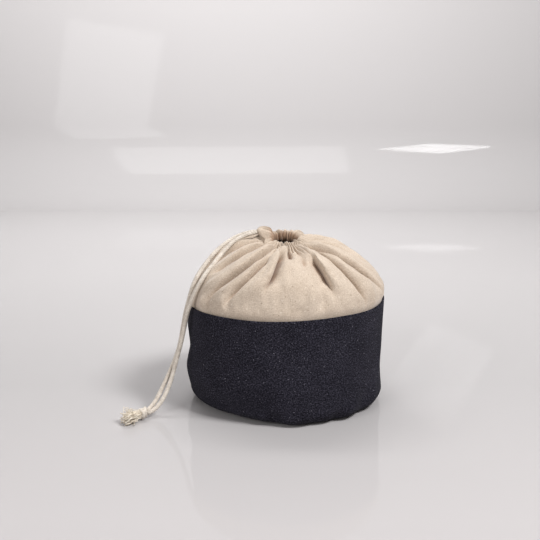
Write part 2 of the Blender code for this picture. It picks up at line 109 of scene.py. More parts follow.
# One row for each level of the linen, from its tuck in the wall to the hem inside the mouth.
DomeRow = namedtuple("DomeRow", "radius height follow skew tilt gather ear_out ear_up")
DOME_ROWS = (
    DomeRow(109.6, 105.0, 1.00, 0.0, 0.0, 0.0, 0.0, 0.0),
    DomeRow(109.7, 115.4, 1.00, 0.0, 0.0, 0.0, 0.0, 0.0),
    DomeRow(111.4, 122.5, 0.80, 0.8, 0.0, 0.0, 0.0, 0.0),
    DomeRow(110.2, 132.0, 0.55, 1.8, 0.0, 0.0, 0.0, 0.0),
    DomeRow(105.8, 142.0, 0.35, 1.8, 0.2, 0.0, 0.0, 0.0),
    DomeRow(99.0, 151.5, 0.15, 1.8, 0.5, 0.2, 0.0, 0.0),
    DomeRow(90.2, 160.8, 0.05, 2.0, 0.9, 0.5, 0.0, 0.0),
    DomeRow(80.0, 170.2, 0.00, 2.0, 1.5, 0.9, 0.0, 0.0),
    DomeRow(68.4, 177.8, 0.00, 1.6, 2.4, 2.6, 0.0, 0.0),
    DomeRow(56.4, 183.4, 0.00, 1.0, 3.4, 4.6, 0.0, 0.0),
    DomeRow(44.6, 186.2, 0.00, 0.4, 4.2, 5.8, 0.0, 0.0),
    DomeRow(34.8, 186.6, 0.00, 0.0, 4.7, 6.0, 1.0, 1.0),
    DomeRow(28.4, 186.0, 0.00, 0.0, 4.9, 5.4, 3.0, 4.5),
    DomeRow(25.4, 186.4, 0.00, 0.0, 4.9, 4.6, 5.6, 8.6),
    DomeRow(22.4, 187.8, 0.00, 0.0, 4.8, 3.9, 6.0, 10.6),
    DomeRow(19.0, 188.4, 0.00, 0.0, 4.7, 3.6, 3.6, 10.4),
    DomeRow(15.8, 187.0, 0.00, 0.0, 4.6, 3.0, 0.5, 10.2),
    DomeRow(14.2, 182.8, 0.00, 0.0, 4.5, 2.6, -1.0, 7.5),
    DomeRow(14.8, 178.4, 0.00, 0.0, 4.4, 1.8, -0.6, 2.0),
    DomeRow(18.6, 174.6, 0.00, 0.0, 4.2, 1.0, 0.0, 0.0),
)

# One row for each main fold of the linen, counted round from the left over the front.
# low, full and top: climb above the rim where the fold starts, is deepest and fades.
# lean: above zero, the side towards larger angles is the wider one.
# gathers: small gathers before the next main fold.
# crease: depth of the sharp line along the fold's bottom.
# tuck: how far that line lies aside, under the next panel, towards larger angles.
FoldRow = namedtuple("FoldRow", "mouth rim low full top depth width lean gathers crease tuck")
FOLD_ROWS = (
    FoldRow(-158, -167, 40, 70, 118, 8.0, 9.0, 0.2, 2, 9.0, -1.0),
    FoldRow(-131, -156, 40, 72, 118, 3.0, 6.0, 0.3, 2, 17.0, -3.4),
    FoldRow(-108, -140, -4, 72, 116, 2.5, 6.0, 0.3, 1, 17.0, -3.6),
    FoldRow(-100, -126, 4, 44, 68, 2.0, 5.0, 0.3, 1, 12.0, -1.6),
    FoldRow(-92, -104, 24, 56, 84, 8.0, 11.0, 0.5, 1, 6.0, -7.0),
    FoldRow(-83, -92, 78, 92, 106, 5.0, 6.0, 0.3, 1, 8.0, -3.0),
    FoldRow(-73, -78, 50, 80, 108, 5.0, 8.0, 0.0, 1, 1.5, 0.0),
    FoldRow(-66, -63, 20, 50, 72, 8.0, 11.0, -0.5, 1, 5.0, 6.5),
    FoldRow(-53, -41, -4, 46, 104, 2.5, 6.0, -0.2, 1, 10.0, 1.2),
    FoldRow(-45, -18, 0, 52, 104, 3.0, 8.0, -0.3, 2, 12.0, 1.5),
    FoldRow(-20, 2, 44, 80, 112, 4.0, 9.0, 0.0, 1, 2.0, 0.0),
    FoldRow(0, 17, 36, 74, 112, 5.0, 8.0, 0.2, 1, 4.0, 1.0),
    FoldRow(21, 35, 26, 70, 112, 6.0, 9.0, 0.3, 1, 7.0, -2.0),
    FoldRow(41, 51, 44, 78, 112, 5.0, 8.0, 0.0, 1, 4.0, 0.0),
    FoldRow(61, 68, 24, 60, 112, 8.0, 9.0, -0.3, 1, 9.0, 3.0),
    FoldRow(81, 85, 46, 74, 112, 5.0, 8.0, 0.0, 1, 5.0, 0.0),
    FoldRow(101, 103, 28, 60, 112, 7.0, 9.0, 0.3, 1, 8.0, -3.0),
    FoldRow(121, 121, 44, 72, 112, 5.0, 8.0, 0.0, 1, 5.0, 0.0),
    FoldRow(141, 139, 22, 60, 112, 7.0, 9.0, -0.2, 1, 8.0, 2.0),
    FoldRow(161, 158, 44, 72, 112, 5.0, 8.0, 0.0, 1, 5.0, 0.0),
    FoldRow(181, 177, 36, 66, 108, 5.0, 8.0, 0.0, 1, 4.0, 0.0),
)

# Lumps and pinches of the linen: rim angle, climb, reach round and up, and rise, a pinch below zero
LumpRow = namedtuple("LumpRow", "angle climb round_reach climb_reach rise")
LUMP_ROWS = (
    LumpRow(-90, 16, 80.0, 14.0, -2.6),
    LumpRow(-174, 88, 3.5, 20.0, 3.4),
    LumpRow(-163, 4, 5.0, 14.0, 3.2),
    LumpRow(-171, 16, 4.0, 16.0, -1.8),
    LumpRow(-154, 14, 4.0, 12.0, -2.0),
    LumpRow(-147, 30, 5.0, 26.0, 2.4),
    LumpRow(-145, 10, 4.5, 7.0, 3.0),
    LumpRow(-140, 6, 3.5, 7.0, -2.2),
    LumpRow(-132, 24, 4.0, 16.0, 2.2),
    LumpRow(-129, 17, 4.0, 6.0, 2.8),
    LumpRow(-124, 12, 4.0, 6.0, -1.8),
    LumpRow(-112, 36, 8.0, 9.0, 3.6),
    LumpRow(-108, 46, 2.2, 2.2, -3.8),
    LumpRow(-103, 36, 4.0, 6.0, 1.6),
    LumpRow(-114, 16, 8.0, 8.0, -0.4),
    LumpRow(-97, 62, 6.0, 12.0, 2.6),
    LumpRow(-88, 44, 12.0, 12.0, 1.6),
    LumpRow(-76, 26, 5.0, 18.0, 2.4),
    LumpRow(-69, 20, 4.0, 16.0, -2.2),
    LumpRow(-56, 42, 6.0, 18.0, 3.2),
    LumpRow(-47, 10, 3.0, 8.0, -2.0),
    LumpRow(-36, 8, 3.0, 10.0, -2.0),
    LumpRow(-32, 34, 9.0, 20.0, 2.4),
    LumpRow(-84, 8, 10.0, 6.0, -1.0),
    LumpRow(-140, 6, 12.0, 4.0, -1.2),
    LumpRow(-176, 121, 6.0, 1.4, -4.6),
    LumpRow(-178, 126, 6.0, 2.4, 2.2),
    LumpRow(-166, 129, 1.3, 6.0, -4.2),
    LumpRow(-175, 133, 1.4, 4.0, -3.6),
    LumpRow(175, 130, 1.4, 6.0, -4.0),
    LumpRow(-160, 124, 1.6, 6.0, -3.0),
    LumpRow(32, 132, 4.0, 5.0, 1.6),
    LumpRow(20, 130, 2.0, 5.0, -1.2),
    LumpRow(20, 30, 12.0, 20.0, 2.0),
    LumpRow(60, 24, 10.0, 18.0, 1.6),
    LumpRow(95, 32, 10.0, 16.0, 2.0),
    LumpRow(130, 26, 10.0, 18.0, 1.8),
    LumpRow(165, 34, 10.0, 16.0, 2.0),
)

# Route points of the two strands, in millimetres, from the casing to the knot
FRONT_ROUTE = (
    (-28.4, -1.8, 193.2), (-31.8, -2.7, 193.0), (-43.0, -6.0, 190.4), (-52.0, -11.0, 186.8),
    (-59.5, -16.0, 182.6), (-71.2, -28.0, 170.8), (-78.6, -38.7, 162.7), (-85.7, -47.4, 154.4),
    (-91.3, -51.3, 146.4), (-97.1, -52.0, 136.4), (-101.2, -51.0, 127.6), (-107.8, -48.8, 109.0),
    (-112.1, -49.5, 88.8), (-115.6, -51.5, 73.8), (-119.2, -54.2, 60.4), (-123.8, -58.8, 43.0),
    (-127.6, -62.8, 31.0), (-132.4, -67.4, 20.4), (-138.6, -71.6, 11.2), (-145.4, -77.3, 6.8),
    (-149.4, -80.0, 6.3),
)
BACK_ROUTE = (
    (-28.4, 2.2, 193.0), (-31.8, 2.9, 193.1), (-43.2, 3.0, 191.4), (-52.4, 1.0, 188.5), (-60.3, -2.0, 185.0),
    (-75.4, -12.0, 174.8), (-84.7, -21.0, 165.2), (-92.6, -31.0, 154.8), (-98.2, -36.0, 146.0),
    (-101.9, -37.6, 138.0), (-105.4, -38.2, 127.0), (-110.8, -38.8, 107.0), (-114.4, -42.2, 87.0),
    (-117.3, -45.2, 72.0), (-121.6, -48.4, 58.4), (-127.6, -53.0, 44.0), (-133.4, -58.2, 32.0),
    (-138.2, -62.6, 22.4), (-143.0, -66.8, 13.8), (-148.8, -72.9, 7.6), (-151.0, -77.4, 6.6),
)


def smoothstep(low, high, value):
    share = np.clip((value - low) / (high - low), 0.0, 1.0)
    return share * share * (3.0 - 2.0 * share)


def wrap(angle):
    return (angle + 180.0) % 360.0 - 180.0


def smooth_values(places, values, at):
    """Values on the smooth curve through a table's (place, value) pairs, as in the solids."""
    places = np.asarray(places, float)
    values = np.asarray(values, float)
    last = len(places) - 1
    index = np.clip(np.searchsorted(places, at, side="right") - 1, 0, last - 1)
    start = places[index]
    end = places[index + 1]
    low = values[index]
    high = values[index + 1]
    previous = np.maximum(index - 1, 0)
    following = np.minimum(index + 2, last)
    first = index > 0
    final = index + 2 <= last
    before = np.where(first, places[previous], 2 * start - end)
    low_before = np.where(first, values[previous], 2 * low - high)
    after = np.where(final, places[following], 2 * end - start)
    high_after = np.where(final, values[following], 2 * high - low)
    span = end - start
    slope_in = (high - low_before) / (end - before) * span
    slope_out = (high_after - low) / (after - start) * span
    share = (at - start) / span
    square = share * share
    cube = square * share
    return (
        (2 * cube - 3 * square + 1) * low
        + (cube - 2 * square + share) * slope_in
        + (3 * square - 2 * cube) * high
        + (cube - square) * slope_out
    )


def wall_values(field, angle):
    """A wall section's value at any angles, smooth all the way round."""
    places = [row.angle + 360.0 * turn for turn in (-1, 0, 1) for row in WALL_ROWS]
    values = [getattr(row, field) for _ in (-1, 0, 1) for row in WALL_ROWS]
    return smooth_values(places, values, wrap(angle))


def route_points(route):
    """Evenly spaced points on the smooth curve through a cord's route points, in metres."""
    knots = [0.0]
    for start, end in zip(route, route[1:]):
        knots.append(knots[-1] + (Vector(end) - Vector(start)).length)
    steps = ceil(knots[-1] / CORD_STEP)
    places = np.linspace(0.0, knots[-1], steps + 1)
    axes = [smooth_values(knots, [point[axis] for point in route], places) for axis in range(3)]
    return np.stack(axes, 1) * MM


# Nodes written as expressions


class Wire:
    """A node's output that takes part in sums and products."""

    def __init__(self, tree, socket):
        self.tree = tree
        self.socket = socket

    def operate(self, operation, first, second=0.0):
        return self.tree.node("ShaderNodeMath", {"operation": operation}, {0: first, 1: second})

    def __add__(self, other):
        return self.operate("ADD", self, other)

    def __radd__(self, other):
        return self.operate("ADD", other, self)

    def __sub__(self, other):
        return self.operate("SUBTRACT", self, other)

    def __rsub__(self, other):
        return self.operate("SUBTRACT", other, self)

    def __mul__(self, other):
        return self.operate("MULTIPLY", self, other)

    def __rmul__(self, other):
        return self.operate("MULTIPLY", other, self)

    def __truediv__(self, other):
        return self.operate("DIVIDE", self, other)

    def sine(self):
        return self.operate("SINE", self)


class Nodes:
    """A node tree whose nodes are all made by one method."""

    def __init__(self, tree):
        self.tree = tree

    def node(self, kind, settings=None, values=None, out=0):
        made = self.tree.nodes.new(kind)
        for name, value in (settings or {}).items():
            setattr(made, name, value)
        for key, value in (values or {}).items():
            if isinstance(value, Wire):
                self.tree.links.new(value.socket, made.inputs[key])
            else:
                made.inputs[key].default_value = value
        return Wire(self, made.outputs[out])

    def ramp(self, factor, stops):
        """Black to white by a list of (place, value) stops."""
        wire = self.node("ShaderNodeValToRGB", values={"Fac": factor})
        ramp = wire.socket.node.color_ramp
        while len(ramp.elements) < len(stops):
            ramp.elements.new(0.5)
        for element, (place, value) in zip(ramp.elements, stops):
            element.position = place
            element.color = (value, value, value, 1.0)
        return wire

    def mix(self, factor, first, second):
        return self.node("ShaderNodeMix", {"data_type": "RGBA"}, {0: factor, 6: first, 7: second}, out=2)

    def noise(self, place, scale, detail, roughness):
        values = {"Vector": place, "Scale": scale, "Detail": detail, "Roughness": roughness}
        return self.node("ShaderNodeTexNoise", values=values, out="Fac")

    def stretched(self, place, across, along):
        """A place scaled by a different amount on each of its first two axes."""
        values = {0: place, 1: (across, along, 1.0)}
        return self.node("ShaderNodeVectorMath", {"operation": "MULTIPLY"}, values)

    def parts(self, place):
        """The x, y and z of a place."""
        split = self.node("ShaderNodeSeparateXYZ", values={0: place})
        return [Wire(self, socket) for socket in split.socket.node.outputs]


def new_finish(name, roughness, sheen=0.0):
    """A material with its constant values set on the shader's own sockets."""
    material = bpy.data.materials.new(name)
    material.use_nodes = True
    nodes = Nodes(material.node_tree)
    shader = material.node_tree.nodes["Principled BSDF"]
    shader.inputs["Roughness"].default_value = roughness
    shader.inputs["Specular IOR Level"].default_value = 0.25
    shader.inputs["Sheen Weight"].default_value = sheen
    return material, nodes, shader


def plug(nodes, wire, shader, name):
    nodes.tree.links.new(wire.socket, shader.inputs[name])


def cloth_place(nodes):
    """The cloth's own flat coordinates in metres, from its UV map."""
    return nodes.node("ShaderNodeUVMap", {"uv_map": "cloth"})


def weave(nodes, place, pitch, slope):
    """Over-and-under relief of threads at a pitch; slope turns a plain weave into a twill."""
    across, along, _ = nodes.parts(place)
    turn = 2.0 * pi / pitch
    if slope:
        return (across * turn + along * (turn * slope)).sine() * 0.5 + 0.5
    warp = (across * turn).sine()
    weft = (along * turn).sine()
    return warp * weft * 0.5 + 0.5


LINEN_DARK = (0.46, 0.365, 0.28, 1.0)
LINEN_LIGHT = (0.68, 0.575, 0.47, 1.0)
LINEN_FLECK = (0.22, 0.155, 0.10, 1.0)
LINEN_NEP = (0.84, 0.76, 0.66, 1.0)
# Painted shade colour for deep folds and inside the mouth, not a colour of the linen itself
LINEN_PAINTED_SHADE = (0.36, 0.205, 0.12, 1.0)
DENIM_DARK = (0.0048, 0.0046, 0.0074, 1.0)
DENIM_MIDDLE = (0.0160, 0.0150, 0.0225, 1.0)
DENIM_LIGHT = (0.098, 0.093, 0.124, 1.0)
DENIM_SPECK = (0.26, 0.25, 0.29, 1.0)
COTTON_DARK = (0.46, 0.40, 0.335, 1.0)
COTTON_LIGHT = (0.82, 0.75, 0.665, 1.0)
# Paler copy of the cord's cotton for the fray: painted light, for light passing through and between the
# loose fibres
FRAY_DARK = (0.60, 0.50, 0.38, 1.0)
FRAY_LIGHT = (0.93, 0.865, 0.75, 1.0)


def linen_finish():
    material, nodes, shader = new_finish("linen_plain_weave", 0.95, sheen=0.25)
    place = cloth_place(nodes)
    warp_slubs = nodes.noise(nodes.stretched(place, 1300.0, 260.0), 1.0, 3.0, 0.6)
    weft_slubs = nodes.noise(nodes.stretched(place, 260.0, 1300.0), 1.0, 3.0, 0.6)
    blotches = nodes.noise(place, 55.0, 3.0, 0.6)
    grain = nodes.noise(place, 760.0, 2.0, 0.7)
    tone = warp_slubs * 0.24 + weft_slubs * 0.24 + grain * 0.37 + blotches * 0.15
    base = nodes.mix(nodes.ramp(tone, ((0.40, 0.0), (0.60, 1.0))), LINEN_DARK, LINEN_LIGHT)
    scattered = nodes.noise(nodes.stretched(place, 420.0, 260.0), 1.0, 1.0, 0.4)
    flecks = nodes.ramp(scattered, ((0.70, 0.0), (0.76, 1.0)))
    neps = nodes.ramp(nodes.noise(place, 380.0, 1.0, 0.4), ((0.68, 0.0), (0.76, 1.0)))
    base = nodes.mix(neps * 0.45, base, LINEN_NEP)
    base = nodes.mix(flecks * 0.55, base, LINEN_FLECK)
    # Painted shade: the linen turns brown where its folds are deep and inside the mouth
    painted_shading = nodes.node("ShaderNodeAttribute", {"attribute_name": "painted_fold_shade"}, out="Fac")
    base = nodes.mix(painted_shading, base, LINEN_PAINTED_SHADE)
    plug(nodes, base, shader, "Base Color")
    relief = weave(nodes, place, 1.1 * MM, 0.0) * 0.2 + tone * 1.3
    creases = nodes.noise(nodes.stretched(place, 110.0, 60.0), 1.0, 3.0, 0.55)
    soft = nodes.node("ShaderNodeBump", values={"Strength": 0.5, "Distance": 1.6 * MM, "Height": creases})
    fine = {"Strength": 0.6, "Distance": 0.4 * MM, "Height": relief, "Normal": soft}
    plug(nodes, nodes.node("ShaderNodeBump", values=fine), shader, "Normal")
    return material


def denim_finish(name, on_object):
    """Indigo twill, near black, with the pale weft showing through as fine specks."""
    material, nodes, shader = new_finish(name, 1.0, sheen=0.02)
    shader.inputs["Specular IOR Level"].default_value = 0.06
    if on_object:
        place = nodes.node("ShaderNodeTexCoord", out="Object")
    else:
        place = cloth_place(nodes)
    twill = weave(nodes, place, 1.5 * MM, 0.75)
    yarn = nodes.noise(nodes.stretched(place, 900.0, 420.0), 1.0, 2.0, 0.6)
    heather = nodes.noise(place, 640.0, 2.0, 0.7)
    worn = nodes.noise(place, 30.0, 4.0, 0.6)
    patches = nodes.noise(place, 110.0, 3.0, 0.6)
    tone = yarn * 0.45 + heather * 0.3 + worn * 0.17 + patches * 0.08
    base = nodes.mix(nodes.ramp(tone, ((0.38, 0.0), (0.64, 1.0))), DENIM_DARK, DENIM_MIDDLE)
    showing = heather * 0.65 + twill * 0.12 + worn * 0.07 + patches * 0.06
    base = nodes.mix(nodes.ramp(showing, ((0.43, 0.0), (0.63, 1.0))) * 0.8, base, DENIM_LIGHT)
    specks = nodes.ramp(nodes.noise(place, 470.0, 1.0, 0.5), ((0.70, 0.0), (0.76, 1.0)))
    base = nodes.mix(specks * 0.6, base, DENIM_SPECK)
    plug(nodes, base, shader, "Base Color")
    relief = twill * 0.5 + yarn * 0.8 + heather * 0.5
    bump = nodes.node("ShaderNodeBump", values={"Strength": 0.7, "Distance": 0.5 * MM, "Height": relief})
    plug(nodes, bump, shader, "Normal")
    return material


def cotton_finish(name, dark, light):
    """Undyed cotton: fine fibres run along each ply."""
    material, nodes, shader = new_finish(name, 0.95, sheen=0.3)
    place = nodes.node("ShaderNodeTexCoord", out="Object")
    fibres = nodes.noise(place, 900.0, 4.0, 0.7)
    soft = nodes.noise(place, 160.0, 2.0, 0.5)
    tone = fibres * 0.6 + soft * 0.4
    base = nodes.mix(nodes.ramp(tone, ((0.34, 0.0), (0.62, 1.0))), dark, light)
    plug(nodes, base, shader, "Base Color")
    bump = nodes.node("ShaderNodeBump", values={"Strength": 0.5, "Distance": 0.3 * MM, "Height": fibres})
    plug(nodes, bump, shader, "Normal")
    return material


# Painted light: the table's colour is paler near the front than far back
TABLE_FAR = (0.455, 0.44, 0.44, 1.0)
TABLE_NEAR = (0.54, 0.517, 0.517, 1.0)
NEARNESS_SLOPE = -3.0
NEARNESS_START = 0.1
TABLE_GLOSS = 0.10


def floor_finish():
    """Pale lacquered table, a little paler in front as painted light: a faint, nearly sharp reflection."""
    material, nodes, shader = new_finish("pale_table", 0.05)
    depth = nodes.parts(nodes.node("ShaderNodeTexCoord", out="Object"))[1]
    # Painted light: the colour grows paler towards the front
    painted_front_light = nodes.ramp(depth * NEARNESS_SLOPE + NEARNESS_START, ((0.0, 0.0), (1.0, 1.0)))
    plug(nodes, nodes.mix(painted_front_light, TABLE_FAR, TABLE_NEAR), shader, "Base Color")
    shader.inputs["Specular IOR Level"].default_value = TABLE_GLOSS
    return material


# Camera, floor and light


def add_object(name, data):
    """A new object in the scene."""
    made = bpy.data.objects.new(name, data)
    bpy.context.collection.objects.link(made)
    return made


def place_camera():
    camera = bpy.data.cameras.new("photograph_view")
    camera.lens = CAMERA_LENS
    camera.sensor_width = CAMERA_SENSOR
    holder = add_object("photograph_view", camera)
    holder.location = CAMERA_PLACE
    holder.rotation_euler = (radians(CAMERA_TILT), 0.0, 0.0)
    bpy.context.scene.camera = holder


FLOOR_NEAR = -2.4
FLOOR_BACK = 2.25
SWEEP_RADIUS = 0.35
SWEEP_STEPS = 10
BACKDROP_TOP = 3.2
FLOOR_SIDE = 3.0


def lay_floor(material):
    """Pale table with a backdrop that rises from its far edge."""
    line = [(FLOOR_NEAR, 0.0), (FLOOR_BACK, 0.0)]
    for step in range(1, SWEEP_STEPS + 1):
        turn = 0.5 * pi * step / SWEEP_STEPS
        line.append((FLOOR_BACK + SWEEP_RADIUS * sin(turn), SWEEP_RADIUS * (1.0 - cos(turn))))
    line.append((FLOOR_BACK + SWEEP_RADIUS, BACKDROP_TOP))
    points = []
    for back, up in line:
        points.append((-FLOOR_SIDE, back, up))
        points.append((FLOOR_SIDE, back, up))
    faces = [(2 * row, 2 * row + 1, 2 * row + 3, 2 * row + 2) for row in range(len(line) - 1)]
    mesh = bpy.data.meshes.new("table")
    mesh.from_pydata(points, [], faces)
    mesh.shade_smooth()
    mesh.materials.append(material)
    table = add_object("table", mesh)


LightRow = namedtuple("LightRow", "name place aim size power")
LIGHT_ROWS = (
    LightRow("window", (1.7, -1.2, 2.6), (0.0, 0.0, 0.08), 0.9, 95.0),
    LightRow("room", (-1.7, -2.0, 1.2), (0.0, 0.0, 0.12), 1.1, 23.0),
    LightRow("backdrop_glow", (-0.3, 1.0, 2.2), (-0.2, 2.6, 0.9), 1.8, 72.0),
)
SKY_COLOUR = (0.97, 0.94, 0.945, 1.0)
SKY_STRENGTH = 0.29


def light_scene():
    for row in LIGHT_ROWS:
        light = bpy.data.lights.new(row.name, "AREA")
        light.shape = "SQUARE"
        light.size = row.size
        light.energy = row.power
        lamp = add_object(row.name, light)
        lamp.location = row.place
        lamp.rotation_euler = (Vector(row.aim) - Vector(row.place)).to_track_quat("-Z", "Y").to_euler()
    world = bpy.data.worlds.new("studio")
    world.use_nodes = True
    sky = world.node_tree.nodes["Background"]
    sky.inputs["Color"].default_value = SKY_COLOUR
    sky.inputs["Strength"].default_value = SKY_STRENGTH
    bpy.context.scene.world = world
    bpy.context.scene.view_settings.view_transform = "Standard"


# Geometry trees for what is twisted and combed


CORD_SIDES = 24


def growth_tree(name, sockets):
    """A geometry tree's nodes, with the identifiers and the wires of its named inputs."""
    tree = bpy.data.node_groups.new(name, "GeometryNodeTree")
    tree.interface.new_socket("Geometry", in_out="INPUT", socket_type="NodeSocketGeometry")
    names = {}
    for label, (kind, default) in sockets.items():
        socket = tree.interface.new_socket(label, in_out="INPUT", socket_type="NodeSocket" + kind)
        if default is not None:
            socket.default_value = default
        names[label] = socket.identifier
    tree.interface.new_socket("Geometry", in_out="OUTPUT", socket_type="NodeSocketGeometry")
    nodes = Nodes(tree)
    given = tree.nodes.new("NodeGroupInput").outputs
    wires = {label: Wire(nodes, given[label]) for label in ("Geometry", *sockets)}
    return nodes, names, wires


def sweep_out(nodes, curve, profile, cotton):
    """Ends a geometry tree: a profile swept along its curves, closed and in its material."""
    values = {"Curve": curve, "Profile Curve": profile, "Fill Caps": True}
    swept = nodes.node("GeometryNodeCurveToMesh", values=values)
    real = nodes.node("GeometryNodeRealizeInstances", values={"Geometry": swept})
    dressed = nodes.node("GeometryNodeSetMaterial", values={"Geometry": real, "Material": cotton})
    result = nodes.tree.nodes.new("NodeGroupOutput")
    nodes.tree.links.new(dressed.socket, result.inputs[0])


def cord_tree():
    """Sweeps a lobed profile along a curve and turns it at an even lay, as a plied cord."""
    nodes, names, given = growth_tree("plied_cord", {
        "Radius": ("Float", 0.0025),
        "Lay": ("Float", 0.012),
        "Plies": ("Float", 3.0),
        "Groove": ("Float", 0.14),
        "Step": ("Float", 0.0008),
        "Cotton": ("Material", None),
    })
    values = {"Curve": given["Geometry"], "Length": given["Step"]}
    fine = nodes.node("GeometryNodeResampleCurve", {"mode": "LENGTH"}, values)
    twist = nodes.node("GeometryNodeSplineParameter", out="Length") / given["Lay"] * (2.0 * pi)
    turned = nodes.node("GeometryNodeSetCurveTilt", values={"Curve": fine, "Tilt": twist})
    values = {"Resolution": CORD_SIDES, "Radius": given["Radius"]}
    ring = nodes.node("GeometryNodeCurvePrimitiveCircle", values=values)
    around = nodes.node("GeometryNodeSplineParameter", out="Factor")
    lobes = (around * given["Plies"] * pi).sine()
    reach = 1.0 - (1.0 - lobes.operate("ABSOLUTE", lobes)) * given["Groove"]
    values = {"Vector": nodes.node("GeometryNodeInputPosition"), "Scale": reach}
    drawn = nodes.node("ShaderNodeVectorMath", {"operation": "SCALE"}, values)
    profile = nodes.node("GeometryNodeSetPosition", values={"Geometry": ring, "Position": drawn})
    sweep_out(nodes, turned, profile, given["Cotton"])
    return nodes.tree, names


def poly_curve(name, lines):
    """A curve object with one open spline for each list of points, in metres."""
    curve = bpy.data.curves.new(name, "CURVE")
    curve.dimensions = "3D"
    for points in lines:
        spline = curve.splines.new("POLY")
        spline.points.add(len(points) - 1)
        for place, point in zip(spline.points, points):
            place.co = (*point, 1.0)
    return add_object(name, curve)


def grown_mesh(name, source, tree, settings):
    """The plain mesh that a geometry tree makes from a source object."""
    modifier = source.modifiers.new("growth", "NODES")
    modifier.node_group = tree
    for identifier, value in settings.items():
        modifier[identifier] = value
    bpy.context.view_layer.update()
    depsgraph = bpy.context.evaluated_depsgraph_get()
    mesh = bpy.data.meshes.new_from_object(source.evaluated_get(depsgraph), depsgraph=depsgraph)
    source.modifiers.remove(modifier)
    bpy.data.objects.remove(source, do_unlink=True)
    mesh.name = name
    mesh.shade_smooth()
    return add_object(name, mesh)


CORD_LAY = 13.0
CORD_PLIES = 4.0
CORD_GROOVE = 0.16


def plied_cords(name, lines, radius, plied, cotton):
    """Plied cords along lists of points, as one piece."""
    tree, names = plied
    settings = {
        names["Radius"]: radius * MM,
        names["Lay"]: CORD_LAY * MM,
        names["Plies"]: CORD_PLIES,
        names["Groove"]: CORD_GROOVE,
        names["Cotton"]: cotton,
    }
    return grown_mesh(name, poly_curve(name + "_route", lines), tree, settings)


def cord_strand(name, route, node, plied, cotton):
    points = route_points(route)
    strand = plied_cords(name, [points], 0.5 * CORD_DIAMETER, plied, cotton)
    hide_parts(node)
    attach(strand, "root")
    return strand


def knot_place(points):
    """Points of the knot's own frame, +X along its heading, put where the knot lies."""
    heading = radians(KNOT_HEADING)
    points = np.asarray(points, float)
    along = points[:, 0]
    side = points[:, 1]
    x = KNOT_CENTRE[0] + along * cos(heading) - side * sin(heading)
    y = KNOT_CENTRE[1] + along * sin(heading) + side * cos(heading)
    return np.stack((x, y, KNOT_CENTRE[2] + points[:, 2]), 1) * MM


# One row for each turn of cord in the knot: where it starts and ends along the knot, its
# radius there and at its middle, the angle that it starts at and how far round it goes.
TurnRow = namedtuple("TurnRow", "start end edge_radius radius angle sweep")
TURN_ROWS = (
    TurnRow(-6.0, 6.0, 1.3, 1.6, 30.0, 60.0),
    TurnRow(-6.0, 6.0, 1.3, 1.6, 210.0, 60.0),
    TurnRow(-5.4, -2.2, 1.6, 2.6, 250.0, 400.0),
    TurnRow(-0.6, 2.6, 2.8, 3.9, 190.0, 430.0),
    TurnRow(2.2, 5.6, 2.9, 4.5, 120.0, 430.0),
    TurnRow(-4.6, 5.8, 2.2, 4.9, 150.0, -190.0),
)
KNOT_STRAND_RADIUS = 1.8
KNOT_TURN_POINTS = 42
KNOT_SWELL_POWER = 0.35


def tie_knot(plied, cotton):
    """Overhand knot: two core strands, three wraps round them and one turn across the wraps."""
    lines = []
    for row in TURN_ROWS:
        share = np.linspace(0.0, 1.0, KNOT_TURN_POINTS)
        swell = np.sin(pi * share) ** KNOT_SWELL_POWER
        radius = row.edge_radius + (row.radius - row.edge_radius) * swell
        angle = np.radians(row.angle + row.sweep * share)
        along = row.start + (row.end - row.start) * share
        lines.append(knot_place(np.stack((along, radius * np.cos(angle), radius * np.sin(angle)), 1)))
    knot = plied_cords("knot_wraps", lines, KNOT_STRAND_RADIUS, plied, cotton)
    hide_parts("drawcord_knot")
    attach(knot, "root")
    return knot


FIBRE_POINTS = 12
FIBRE_SIDES = 6
SHORTEST_SHARE = 0.62
WAVE_TURN = 7.0
TIP_THINNING = -0.35


